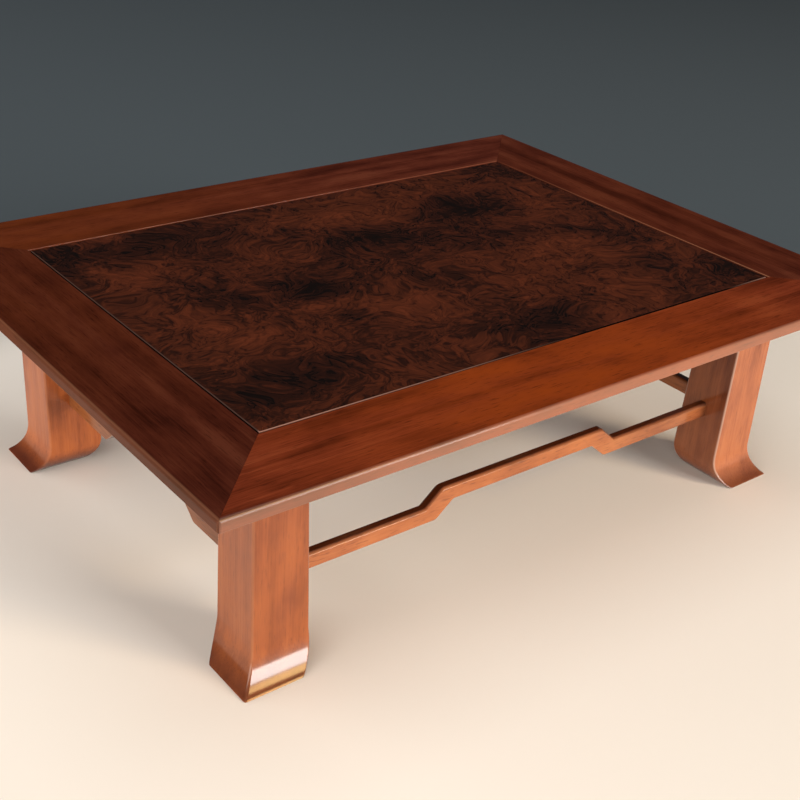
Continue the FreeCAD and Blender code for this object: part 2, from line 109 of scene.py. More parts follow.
# the three darker boards are less orange and keep more of their colour at the edge
darkFrameWoodSettings = dict(
    frameWoodSettings, dark="#3c1610", deep="#5a271c", mid="#6c3224", light="#7e412f",
    warm="#833e1b", wornAndHighlit="#ad7a5a", wearAndHighlight=0.45)
# the thin stretchers are a little paler and show coarser, livelier grain
stretcherWoodSettings = dict(
    woodSettings, dark="#552611", deep="#6e3921", mid="#7f472a", light="#925936", warm="#975728",
    wornAndHighlit="#b8937a", fibreWidth=1.2, fibreLength=14.0, poreWidth=0.8, poreLength=6.0, poreShare=0.5)
# the palest leg, its colour partly painted sheen and its arris painted palest as a highlight besides
# wear
paleLegWoodSettings = dict(
    woodSettings, deep="#733a22", mid="#864a2d", light="#975838", warm="#96552c", wornAndHighlit="#c09a86",
    wearAndHighlight=0.9)
# turns that lay the texture's own X axis along the board, one for each direction of grain
grainTurns = dict(x=(0, 0, 0), y=(0, 0, -math.pi / 2), z=(0, math.pi / 2, 0))


# shift and pith place the board in its log, depth makes it paler or darker, and its warm heart lies
# round heartAt along it; a strong warm heart also serves as painted sheen
def makeMahogany(name, grain, shift, pith=(38.0, -90.0), depth=1.0, warmthAndSheen=0.5, heartAt=0.0,
                 heartReach=150.0, values=woodSettings):
    material, tree, place = startMaterial(name)
    turned = addNode(tree, "ShaderNodeMapping", {
        "Vector": place, "Rotation": grainTurns[grain], "Scale": (1 / mm,) * 3}).outputs[0]
    board = addNode(tree, "ShaderNodeVectorMath", {0: turned, 1: shift}, operation="ADD").outputs[0]
    # grain lines wander sideways by a few millimetres over the length of a board
    sideways = 1 / values["waverWidth"]
    bend = addNode(tree, "ShaderNodeVectorMath", {
        0: board, 1: (1 / values["waverLength"], sideways, sideways)}, operation="MULTIPLY")
    bend = addNode(tree, "ShaderNodeTexNoise", {
        "Vector": bend.outputs[0], "Scale": 1.0, "Detail": values["waverDetail"]})
    grainPlace = addNode(tree, "ShaderNodeVectorMath", {
        0: bend.outputs["Color"], 1: (0, values["waver"], values["waver"]), 2: board},
        operation="MULTIPLY_ADD").outputs[0]
    # ribbons, mottle, fibres and pores are noise drawn out along the grain
    drawn = {}
    for key, detail in values["noiseDetail"].items():
        across = 1 / values[key + "Width"]
        scaled = addNode(tree, "ShaderNodeVectorMath", {
            0: grainPlace, 1: (1 / values[key + "Length"], across, across)}, operation="MULTIPLY")
        drawn[key] = addNode(tree, "ShaderNodeTexNoise", {
            "Vector": scaled.outputs[0], "Scale": 1.0, "Detail": detail,
            "Roughness": values["noiseRoughness"]}).outputs["Fac"]
    # growth layers: bands of uneven tone by the distance from the pith, which lies beside the board
    fromPith = addNode(tree, "ShaderNodeVectorMath", {0: grainPlace, 1: (0, *pith)},
                       operation="SUBTRACT").outputs[0]
    fromPith = addNode(tree, "ShaderNodeVectorMath", {0: fromPith, 1: (0, 1, 1)},
                       operation="MULTIPLY").outputs[0]
    radius = addNode(tree, "ShaderNodeVectorMath", {0: fromPith}, operation="LENGTH")
    drawn["layer"] = addNode(tree, "ShaderNodeTexNoise", {
        "W": radius.outputs["Value"], "Scale": 1 / values["layerSpacing"],
        "Detail": values["layerDetail"]}, noise_dimensions="1D").outputs["Fac"]
    tone = 0.0
    for key, share in values["toneShares"].items():
        tone = addNode(tree, "ShaderNodeMath", {0: drawn[key], 1: share, 2: tone},
                       operation="MULTIPLY_ADD").outputs[0]
    colour = addNode(tree, "ShaderNodeValToRGB", {"Fac": tone}, stops=[
        (at, toLinear(values[key], depth)) for key, at in values["toneStops"].items()])
    colour = colour.outputs["Color"]
    # the warm heart falls off as the exponent of minus the square of the distance along the board,
    # and the mottle breaks it up
    along = addNode(tree, "ShaderNodeSeparateXYZ", {0: turned}).outputs[0]
    for operation, number in (("SUBTRACT", heartAt), ("DIVIDE", heartReach)):
        along = addNode(tree, "ShaderNodeMath", {0: along, 1: number}, operation=operation).outputs[0]
    heart = addNode(tree, "ShaderNodeMath", {0: along, 1: along}, operation="MULTIPLY").outputs[0]
    heart = addNode(tree, "ShaderNodeMath", {0: heart, 1: -1.0}, operation="MULTIPLY").outputs[0]
    heart = addNode(tree, "ShaderNodeMath", {0: heart}, operation="EXPONENT").outputs[0]
    heart = addNode(tree, "ShaderNodeMath", {0: heart, 1: drawn["mottle"]}, operation="MULTIPLY")
    heart = addNode(tree, "ShaderNodeMath", {0: heart.outputs[0], 1: 2 * warmthAndSheen},
                    operation="MULTIPLY", use_clamp=True).outputs[0]
    pore = addNode(tree, "ShaderNodeMapRange", {
        "Value": drawn["pore"], "From Min": values["poreFrom"], "From Max": values["poreTo"],
        "To Max": values["poreShare"]}).outputs[0]
    # paler arrises: partly wear, partly a painted highlight
    arris = addNode(tree, "ShaderNodeAttribute", {}, attribute_name="arris").outputs["Fac"]
    wearAndHighlight = addNode(tree, "ShaderNodeMath", {0: arris, 1: values["wearAndHighlight"]}, operation="MULTIPLY")
    for share, other in ((heart, toLinear(values["warm"], depth)),
                         (pore, toLinear(values["pore"], depth)),
                         (wearAndHighlight.outputs[0], toLinear(values["wornAndHighlit"]))):
        colour = addNode(tree, "ShaderNodeMix", {0: share, 6: colour, 7: other},
                         data_type="RGBA").outputs[2]
    # darkening, in red least: real end grain drinking the oil, and painted shade on upper faces, edges
    # and inward faces
    soakAndShade = addNode(tree, "ShaderNodeAttribute", {}, attribute_name="soakAndShade").outputs["Fac"]
    kept = addNode(tree, "ShaderNodeVectorMath", {
        0: soakAndShade, 1: [-tint for tint in values["soakAndShadeTint"]], 2: (1, 1, 1)}, operation="MULTIPLY_ADD")
    colour = addNode(tree, "ShaderNodeVectorMath", {0: colour, 1: kept.outputs[0]},
                     operation="MULTIPLY").outputs[0]
    shine = values["coat"]
    if values["dulls"]:  # long use has dulled the wax on the upper face
        dulled = addNode(tree, "ShaderNodeAttribute", {}, attribute_name="dulled").outputs["Fac"]
        shine = addNode(tree, "ShaderNodeMath", {0: 1.0, 1: dulled}, operation="SUBTRACT").outputs[0]
        shine = addNode(tree, "ShaderNodeMath", {0: shine, 1: values["coat"]},
                        operation="MULTIPLY").outputs[0]
    smooth, rough = values["roughness"]
    low, high = values["fibreRange"]
    roughness = addNode(tree, "ShaderNodeMapRange", {
        "Value": drawn["fibre"], "From Min": low, "From Max": high, "To Min": rough,
        "To Max": smooth}).outputs[0]
    height = addNode(tree, "ShaderNodeMath", {0: pore, 1: -values["poreSink"], 2: drawn["fibre"]},
                     operation="MULTIPLY_ADD")
    bump = addNode(tree, "ShaderNodeBump", {
        "Height": height.outputs[0], "Distance": values["bumpDepth"] * mm,
        "Strength": values["bumpStrength"]})
    shader = addNode(tree, "ShaderNodeBsdfPrincipled", {
        "Base Color": colour, "Roughness": roughness, "Normal": bump.outputs[0],
        "IOR": values["ior"], "Specular IOR Level": values["specular"], "Coat Weight": shine,
        "Coat Roughness": values["coatRoughness"]})
    addNode(tree, "ShaderNodeOutputMaterial", {"Surface": shader.outputs[0]})
    return material


# Walnut burl veneer, sanded fine and polished. Countless small knots turn the grain into swirls, so
# dark clouds, red eyes and hair-thin contour lines lie under a smooth satin film.
burlSettings = dict(
    black="#120c0b", brown="#2b150f", red="#4e2517", bright="#65311e", arris="#a87e70",
    toneStops=dict(black=0.3, brown=0.425, red=0.57, bright=0.74),
    toneShares=dict(patch=0.42, mottle=0.36, fleck=0.22, cloudAndShade=-0.13, line=-0.07, eye=0.05),
    offset=(31, 17, 5), pushDetail=2.0,
    pushes=((60.0, 1.2), (27.0, 1.6), (9.0, 1.0)),  # size of sway, curl and crimp; reach in sizes
    noise=dict(figure=(32.0, 3.0), patch=(60.0, 3.0), mottle=(8.0, 3.0), fleck=(1.9, 2.0)),
    noiseRoughness=0.55, lines=11.0, lineFrom=0.2, eyeSpacing=30.0, ringSpacing=3.2,
    eyeRange=(0.08, 0.4), fleckRange=(0.3, 0.7), roughness=(0.34, 0.44), specular=0.0,
    coat=0.16, coatRoughness=0.14, ior=1.5, bumpDepth=0.02, bumpStrength=0.5)


def makeBurl(name, values=burlSettings):
    material, tree, place = startMaterial(name)
    spot = addNode(tree, "ShaderNodeMapping", {
        "Vector": place, "Scale": (1 / mm,) * 3, "Location": values["offset"]}).outputs[0]
    # each pass pushes the place sideways by noise, wide sways first and tight crimps last
    for size, reach in values["pushes"]:
        push = addNode(tree, "ShaderNodeTexNoise", {
            "Vector": spot, "Scale": 1 / size, "Detail": values["pushDetail"]})
        spot = addNode(tree, "ShaderNodeVectorMath", {
            0: push.outputs["Color"], 1: (size * reach,) * 3, 2: spot},
            operation="MULTIPLY_ADD").outputs[0]
    fields = {}
    for key, (size, detail) in values["noise"].items():
        fields[key] = addNode(tree, "ShaderNodeTexNoise", {
            "Vector": spot, "Scale": 1 / size, "Detail": detail,
            "Roughness": values["noiseRoughness"]}).outputs["Fac"]
    # growth lines are contours of the figure, which swells at the large eyes; each is a narrow dark
    # crest of a sine wave
    swell = addNode(tree, "ShaderNodeAttribute", {}, attribute_name="swell").outputs["Fac"]
    hill = addNode(tree, "ShaderNodeMath", {0: fields["figure"], 1: swell}, operation="ADD")
    wave = addNode(tree, "ShaderNodeMath", {
        0: hill.outputs[0], 1: values["lines"] * 2 * math.pi}, operation="MULTIPLY")
    wave = addNode(tree, "ShaderNodeMath", {0: wave.outputs[0]}, operation="SINE").outputs[0]
    fields["line"] = addNode(tree, "ShaderNodeMapRange", {
        "Value": wave, "From Min": values["lineFrom"]}).outputs[0]
    # eyes: rings about scattered points, strong near each point and lost between them
    fromEye = addNode(tree, "ShaderNodeTexVoronoi", {
        "Vector": spot, "Scale": 1 / values["eyeSpacing"]}).outputs["Distance"]
    rings = values["eyeSpacing"] / values["ringSpacing"]
    ring = addNode(tree, "ShaderNodeMath", {0: fromEye, 1: rings * 2 * math.pi}, operation="MULTIPLY")
    ring = addNode(tree, "ShaderNodeMath", {0: ring.outputs[0]}, operation="COSINE").outputs[0]
    near, lost = values["eyeRange"]
    strength = addNode(tree, "ShaderNodeMapRange", {
        "Value": fromEye, "From Min": near, "From Max": lost, "To Min": 1.0, "To Max": 0.0})
    fields["eye"] = addNode(tree, "ShaderNodeMath", {0: ring, 1: strength.outputs[0]},
                            operation="MULTIPLY").outputs[0]
    # the dark clouds, and the painted shade on the board's sides
    fields["cloudAndShade"] = addNode(tree, "ShaderNodeAttribute", {}, attribute_name="cloudAndShade").outputs["Fac"]
    tone = 0.0
    for key, share in values["toneShares"].items():
        tone = addNode(tree, "ShaderNodeMath", {0: fields[key], 1: share, 2: tone},
                       operation="MULTIPLY_ADD").outputs[0]
    colour = addNode(tree, "ShaderNodeValToRGB", {"Fac": tone}, stops=[
        (at, toLinear(values[key])) for key, at in values["toneStops"].items()])
    arris = addNode(tree, "ShaderNodeAttribute", {}, attribute_name="arris").outputs["Fac"]
    colour = addNode(tree, "ShaderNodeMix", {
        0: arris, 6: colour.outputs["Color"], 7: toLinear(values["arris"])}, data_type="RGBA")
    # the film covers the top alone, and the board's sides stay dull
    film = addNode(tree, "ShaderNodeAttribute", {}, attribute_name="film").outputs["Fac"]
    gloss = addNode(tree, "ShaderNodeMath", {0: film, 1: values["coat"]}, operation="MULTIPLY")
    smooth, rough = values["roughness"]
    low, high = values["fleckRange"]
    roughness = addNode(tree, "ShaderNodeMapRange", {
        "Value": fields["fleck"], "From Min": low, "From Max": high, "To Min": smooth,
        "To Max": rough}).outputs[0]
    bump = addNode(tree, "ShaderNodeBump", {
        "Height": fields["fleck"], "Distance": values["bumpDepth"] * mm,
        "Strength": values["bumpStrength"]})
    shader = addNode(tree, "ShaderNodeBsdfPrincipled", {
        "Base Color": colour.outputs[2], "Roughness": roughness, "Normal": bump.outputs[0],
        "IOR": values["ior"], "Specular IOR Level": values["specular"],
        "Coat Weight": gloss.outputs[0], "Coat Roughness": values["coatRoughness"]})
    addNode(tree, "ShaderNodeOutputMaterial", {"Surface": shader.outputs[0]})
    return material


# Maple, sawn and left bare: pale, even and dull, with faint long streaks.
mapleSettings = dict(
    pale="#b98f66", streak="#96683f", toneStops=dict(streak=0.3, pale=0.6), streakWidth=2.5,
    streakLength=70.0, streakDetail=4.0, bumpDepth=0.1, bumpStrength=0.5, roughness=0.62)


def makeMaple(name, values=mapleSettings):
    material, tree, place = startMaterial(name)
    across = 1 / mm / values["streakWidth"]
    scaled = addNode(tree, "ShaderNodeMapping", {
        "Vector": place, "Scale": (across, 1 / mm / values["streakLength"], across)})
    streak = addNode(tree, "ShaderNodeTexNoise", {
        "Vector": scaled.outputs[0], "Scale": 1.0, "Detail": values["streakDetail"]}).outputs["Fac"]
    colour = addNode(tree, "ShaderNodeValToRGB", {"Fac": streak}, stops=[
        (at, toLinear(values[key])) for key, at in values["toneStops"].items()])
    bump = addNode(tree, "ShaderNodeBump", {
        "Height": streak, "Distance": values["bumpDepth"] * mm, "Strength": values["bumpStrength"]})
    shader = addNode(tree, "ShaderNodeBsdfPrincipled", {
        "Base Color": colour.outputs["Color"], "Roughness": values["roughness"],
        "Normal": bump.outputs[0]})
    addNode(tree, "ShaderNodeOutputMaterial", {"Surface": shader.outputs[0]})
    return material


# Brass, turned and gone dull: warm yellow metal with brown tarnish in soft patches.
brassSettings = dict(
    bright="#b08d4a", tarnish="#6f5228", toneStops=dict(tarnish=0.35, bright=0.6), patch=2.0,
    patchDetail=3.0, roughness=(0.3, 0.5))


def makeBrass(name, values=brassSettings):
    material, tree, place = startMaterial(name)
    patch = addNode(tree, "ShaderNodeTexNoise", {
        "Vector": place, "Scale": 1 / (values["patch"] * mm),
        "Detail": values["patchDetail"]}).outputs["Fac"]
    colour = addNode(tree, "ShaderNodeValToRGB", {"Fac": patch}, stops=[
        (at, toLinear(values[key])) for key, at in values["toneStops"].items()])
    smooth, rough = values["roughness"]
    roughness = addNode(tree, "ShaderNodeMapRange", {
        "Value": patch, "To Min": rough, "To Max": smooth})
    shader = addNode(tree, "ShaderNodeBsdfPrincipled", {
        "Base Color": colour.outputs["Color"], "Metallic": 1.0, "Roughness": roughness.outputs[0]})
    addNode(tree, "ShaderNodeOutputMaterial", {"Surface": shader.outputs[0]})
    return material


print("materials: functions ready")


# rises in a straight line from nought at the start to one at the end, and stays level beyond both
def shareBetween(places, start, end):
    return np.clip((places - start) / (end - start), 0, 1)


# A closed outline with rounded corners. The last two axes hold the corners and their coordinates.
# Each corner gives way to an arc between its two tangent points, which lie its radius over the
# tangent of half the corner's angle away and never past nearHalf of a side; a radius of nought keeps
# the corner. The second result is how far each point is into its arc, nought on the straights and
# one in the middle of an arris.
def roundCorners(corners, radii, steps=5, nearHalf=0.48, tiny=1e-9, leastTurn=1e-6):
    before = np.roll(corners, 1, axis=-2) - corners
    after = np.roll(corners, -1, axis=-2) - corners
    beforeLength = np.linalg.norm(before, axis=-1, keepdims=True)
    afterLength = np.linalg.norm(after, axis=-1, keepdims=True)
    before = before / beforeLength
    after = after / afterLength
    half = np.arccos(np.clip((before * after).sum(-1, keepdims=True), -1, 1)) / 2
    radius = np.broadcast_to(np.asarray(radii, float), corners.shape[:-1])[..., None]
    tangent = np.minimum(radius / np.tan(half), nearHalf * np.minimum(beforeLength, afterLength))
    middle = before + after
    middle = middle / np.maximum(np.linalg.norm(middle, axis=-1, keepdims=True), tiny)
    centre = corners + middle * tangent / np.maximum(np.cos(half), tiny)
    start = corners + before * tangent - centre
    end = corners + after * tangent - centre
    turn = np.maximum(math.pi - 2 * half, leastTurn)[..., None]
    share = np.linspace(0, 1, steps + 1)[:, None]
    arc = (start[..., None, :] * np.sin((1 - share) * turn)
           + end[..., None, :] * np.sin(share * turn)) / np.sin(turn)
    points = centre[..., None, :] + arc
    wornAndHighlit = np.sin(math.pi * share) * (radius > 0)[..., None]
    wornAndHighlit = np.broadcast_to(wornAndHighlit, points.shape[:-1] + (1,))
    shape = corners.shape[:-2] + (-1,)
    return points.reshape(*shape, 2), wornAndHighlit.reshape(shape)


# Quads between loops of points: each joins two neighbours of one loop to the same two of the next.
def loopFaces(rows, columns):
    index = np.arange(rows * columns).reshape(rows, columns)
    beside = np.roll(index, -1, axis=1)
    faces = np.stack([index[:-1], beside[:-1], beside[1:], index[1:]], axis=-1)
    return index, faces.reshape(-1, 4).tolist()


# Quads of an open grid of points, and the numbers of the points round its rim.
def gridFaces(shape):
    index = np.arange(shape[0] * shape[1]).reshape(shape)
    faces = np.stack([index[:-1, :-1], index[:-1, 1:], index[1:, 1:], index[1:, :-1]], axis=-1)
    rim = np.concatenate([index[0, :-1], index[:-1, -1], index[-1, :0:-1], index[:0:-1, 0]])
    return faces.reshape(-1, 4), rim


# Turns points given for the front side, (along, away from the middle, height), to another side by
# quarter turns: along and across swap, and one of them changes sign.
quarterTurns = dict(front=0, right=1, back=2, left=3)


def onSide(side, along, across, height):
    angle = quarterTurns[side] * math.pi / 2
    along, across, height = np.broadcast_arrays(along, across, height)
    return np.stack([along * math.cos(angle) - across * math.sin(angle),
                     along * math.sin(angle) + across * math.cos(angle), height], axis=-1)


# Puts points in millimetres into a mesh, merges doubles, turns faces outwards, and marks sharp
# edges. Weighted normals keep the flat faces flat up to their small rounded arrises.
def addPiece(name, points, faces, material, replaced, attributes,
             sharpAngle=40, mergeWithin=0.0005):
    mesh = bpy.data.meshes.new(name)
    mesh.from_pydata((points.reshape(-1, 3) * mm).tolist(), [], faces)
    for key, numbers in attributes.items():
        layer = mesh.attributes.new(key, "FLOAT", "POINT")
        layer.data.foreach_set("value", np.ravel(numbers).astype(np.float32))
    work = bmesh.new()
    work.from_mesh(mesh)
    bmesh.ops.remove_doubles(work, verts=work.verts, dist=mergeWithin * mm)
    bmesh.ops.recalc_face_normals(work, faces=work.faces)
    work.to_mesh(mesh)
    work.free()
    mesh.shade_smooth()
    mesh.set_sharp_from_angle(angle=math.radians(sharpAngle))
    mesh.materials.append(material)
    piece = bpy.data.objects.new(name, mesh)
    bpy.context.scene.collection.objects.link(piece)
    weighted = piece.modifiers.new("flatFaces", "WEIGHTED_NORMAL")
    weighted.keep_sharp = True
    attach(piece, "root")
    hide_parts(replaced)


# outer half sizes of the top, and the heights of its faces, all from the frame
frontLow, frontHigh = (np.array(corner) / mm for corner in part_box("frame_front"))
halfLength = -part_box("frame_left")[0][0] / mm
halfDepth = -frontLow[1]
topHeight = frontHigh[2]
frameUnderside = frontLow[2]
frameStock = frontHigh[1] - frontLow[1]

# The frame's member: its section, by the distance in from the outer face and the height, is carried
# along the member, and each line of it stops on the mitre, which keeps as far from the end as from
# the outer face. A narrow facet takes off the outer corner. Pairs say where wear, painted highlight
# and painted shade start and where they are full: over the edge's rounding as shares of its radius,
# or along the member from -1 to 1.
frameSettings = dict(
    face=43.7, edge=5.8, bevelRun=30.0, edgeRound=2.2, edgeSteps=9, cornerFacet=1.2, ease=0.5,
    innerEase=0.4, grooveEase=0.1, ledgeEase=0.3, lip=7.0, grooveDepth=6.0, ledge=11.0,
    mitreGap=0.05, rows=9, topDull=0.55, dullFrom=0.9,
    # the outer edge's paleness is partly painted sheen, and the inner arris's partly a painted
    # highlight
    innerBand=1.0, innerWearAndHighlightEnds=(1.0, 0.1), rubbedAndSheen=(0.5, 0.2), fading=(-0.5, -1.0),
    # a painted highlight line on the edge's turn, and painted shade beside it
    highlightAt=0.35, highlightReach=0.25, shadeIn=(0.1, 0.4), shadeOut=(1.0, 0.6),
    innerWearAndHighlight=dict(front=0.3, right=1.0, back=0.4, left=0.3),
    edgeWearAndSheen=dict(front=0.6, right=0.25, back=0.25, left=0.25),
    edgeFade=dict(front=0.15, right=0.0, back=0.0, left=0.0),
    edgeHighlight=dict(front=0.5, right=0.6, back=0.6, left=0.6),
    edgeShade=dict(front=0.3, right=0.2, back=0.2, left=0.1))
frameWoods = dict(
    # painted sheen: the front board's strong warm middle stands for the sheen of its grain
    front=makeMahogany("mahoganyFrameFront", "x", (40, 11, -6), (30, -60), depth=0.86, warmthAndSheen=0.8,
                       heartAt=-10.0, heartReach=115.0, values=frameWoodSettings),
    right=makeMahogany("mahoganyFrameRight", "y", (310, -23, 9), (-48, -85), depth=0.47, warmthAndSheen=0.2,
                       values=darkFrameWoodSettings),
    back=makeMahogany("mahoganyFrameBack", "x", (-520, 42, 3), (25, -100), depth=0.55, warmthAndSheen=0.6,
                      heartAt=-160.0, values=darkFrameWoodSettings),
    left=makeMahogany("mahoganyFrameLeft", "y", (740, 58, -4), (52, -75), depth=0.4, warmthAndSheen=0.3,
                      heartAt=60.0, values=darkFrameWoodSettings))


def makeFrameMember(side, values=frameSettings):
    along, outer = halfLength, halfDepth
    if side in ("left", "right"):
        along, outer = halfDepth, halfLength
    facet = values["cornerFacet"] / 2
    edgeLow = topHeight - values["edge"]
    bevelAt = edgeLow + (frameUnderside - edgeLow) * facet / values["bevelRun"]
    grooveEnd = values["face"] - values["grooveDepth"]
    lip = topHeight - values["lip"]
    ledge = topHeight - values["ledge"]
    # the upper edge is a quarter circle, and one of its points lies on the corner's facet
    rounded = values["edgeRound"]
    turn = np.linspace(0, math.pi / 2, values["edgeSteps"])
    turn = np.union1d(turn, math.acos(1 - facet / rounded))
    edge = np.stack([rounded * (1 - np.cos(turn)), topHeight - rounded * (1 - np.sin(turn))], axis=-1)
    corners = np.concatenate([[(facet, bevelAt), (0, edgeLow)], edge, [
        (values["face"], topHeight), (values["face"], lip), (grooveEnd, lip), (grooveEnd, ledge),
        (frameStock, ledge), (frameStock, frameUnderside), (values["bevelRun"], frameUnderside)]])
    soft, groove = values["ease"], values["grooveEase"]
    section, wornAndHighlit = roundCorners(corners, [
        0, soft, *np.zeros(len(edge)), values["innerEase"], groove, groove, groove,
        values["ledgeEase"], soft, soft])
    inward, height = section[:, 0], section[:, 1]
    # the outer edge is paler, partly rubbed by hands and partly painted sheen; a fine painted
    # highlight runs where it turns to the top, with painted shade beside that line; most inner arrises
    # are out of reach, and the pale inner arris is partly a painted highlight
    rows = np.linspace(-1, 1, values["rows"])[:, None]
    innerWearAndHighlight = values["innerWearAndHighlight"][side] * np.interp(rows, (-1, 1), values["innerWearAndHighlightEnds"])
    wornAndHighlit = np.where(inward > values["face"] - values["innerBand"], innerWearAndHighlight, 1.0) * wornAndHighlit
    overEdge = inward / rounded
    turned = height > topHeight - rounded
    faded = 1 - values["edgeFade"][side] * shareBetween(rows, *values["fading"])
    rubbedAndSheen = values["edgeWearAndSheen"][side] * faded * shareBetween(overEdge, *values["rubbedAndSheen"])
    fromLine = np.abs(overEdge - values["highlightAt"])
    line = values["edgeHighlight"][side] * shareBetween(fromLine, values["highlightReach"], 0) * turned
    wornAndHighlit = np.maximum(np.maximum(wornAndHighlit, rubbedAndSheen), line)
    onTurn = shareBetween(overEdge, *values["shadeIn"]) * shareBetween(overEdge, *values["shadeOut"])
    soakAndShade = values["edgeShade"][side] * onTurn * turned
    dulled = values["topDull"] * ((height > topHeight - hair) & (overEdge > values["dullFrom"]))
    reach = along - np.maximum(values["cornerFacet"] - inward, inward) - values["mitreGap"]
    points = onSide(side, rows * reach, inward - outer, height + 0 * rows)
    index, faces = loopFaces(values["rows"], len(section))
    # each end closes with two flat faces, one on the corner's facet and one on the mitre
    for end in (index[0], index[-1]):
        faces.append(end[inward <= facet + hair].tolist())
        faces.append(end[inward >= facet - hair].tolist())
    attributes = {key: np.broadcast_to(shares, points.shape[:-1]) for key, shares in (
        ("arris", wornAndHighlit), ("soakAndShade", soakAndShade), ("dulled", dulled))}
    addPiece("frameMember_" + side, points, faces, frameWoods[side], "frame_" + side,
             attributes)


for side in quarterTurns:
    makeFrameMember(side)
print("frame: four mitred members")


# The burl panel: a fine grid for its top, then loops that go out over the eased arris, down the
# board's side, out along the tongue and down to the flat back. Dark clouds and eyes are soft
# ellipses on the grid, and the board's sides are painted dark as shade.
panelLow, panelHigh = (np.array(corner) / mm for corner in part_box("burl_panel"))
panelSettings = dict(
    tongue=6.0, tongueTop=3.8, ease=0.5, easeSteps=4, sideShade=4.0, columns=181, rows=125,
    wearAndHighlight=0.2, leftWearAndHighlight=(0.1, -0.9), rightWearAndHighlight=(0.8, 1.0857),  # front wear and painted highlight along x, in half lengths
    clouds=[  # middle x and y, half length, half width, turn in degrees, strength
        (-104, 83, 26, 14, 10, 0.8), (-142, 92, 20, 16, 0, 0.9), (4, 41, 30, 13, -8, 0.8),
        (-103, 8, 15, 20, 20, 1.1), (-54, -4, 22, 12, -25, 1.0), (-60, -38, 11, 10, 0, 1.1),
        (-36, 62, 22, 11, 20, 0.8), (-64, -8, 14, 7, 15, 0.7), (26, 28, 36, 16, -10, 0.4),
        (-104, -78, 24, 16, 15, 0.9), (-146, -84, 20, 26, 0, 0.9), (80, 46, 34, 15, -10, 0.9),
        (57, 2, 20, 10, -20, 0.7), (23, -88, 32, 12, 5, 1.1), (-16, -78, 14, 8, 0, 0.6),
        (132, -28, 22, 24, 0, 0.7), (146, -92, 26, 18, 0, 0.9), (140, 92, 26, 18, 0, 0.7),
        (98, 60, 26, 16, 0, 0.8), (118, -56, 22, 12, 0, 0.5), (-103, -36, 22, 12, 10, -0.35),
        (-128, 63, 16, 12, 0, -0.6), (-72, -21, 7, 5, 0, -0.9), (-124, -20, 9, 7, 0, -0.6),
        (91, -16, 26, 14, 0, -0.6), (94, -71, 20, 10, 0, -0.6), (-120, 50, 26, 9, 30, -0.5),
        (-30, -30, 40, 14, 15, -0.3), (20, -45, 36, 14, 0, -0.35)],
    eyes=[  # the same for the large eyes, with how many units the figure swells
        (-72, -21, 16, 10, 0, 0.5), (-124, -20, 15, 12, 0, 0.5), (-98, 30, 22, 14, 20, 0.3),
        (30, 10, 26, 16, 10, 0.3), (91, -16, 24, 15, 0, 0.3), (10, -60, 24, 14, 0, 0.3),
        (120, 60, 24, 18, 0, 0.3), (-20, 70, 26, 14, 0, 0.3)])


# soft ellipses summed at each place, each one falling off as the exponent of minus the square of the
# distance in half lengths
def sumEllipses(x, y, ellipses):
    ellipses = np.array(ellipses)[:, :, None, None]
    turn = np.radians(ellipses[:, 4])
    fromX, fromY = x - ellipses[:, 0], y - ellipses[:, 1]
    lengthwise = (fromX * np.cos(turn) + fromY * np.sin(turn)) / ellipses[:, 2]
    sidewise = (fromY * np.cos(turn) - fromX * np.sin(turn)) / ellipses[:, 3]
    return (ellipses[:, 5] * np.exp(-(lengthwise ** 2 + sidewise ** 2))).sum(axis=0)


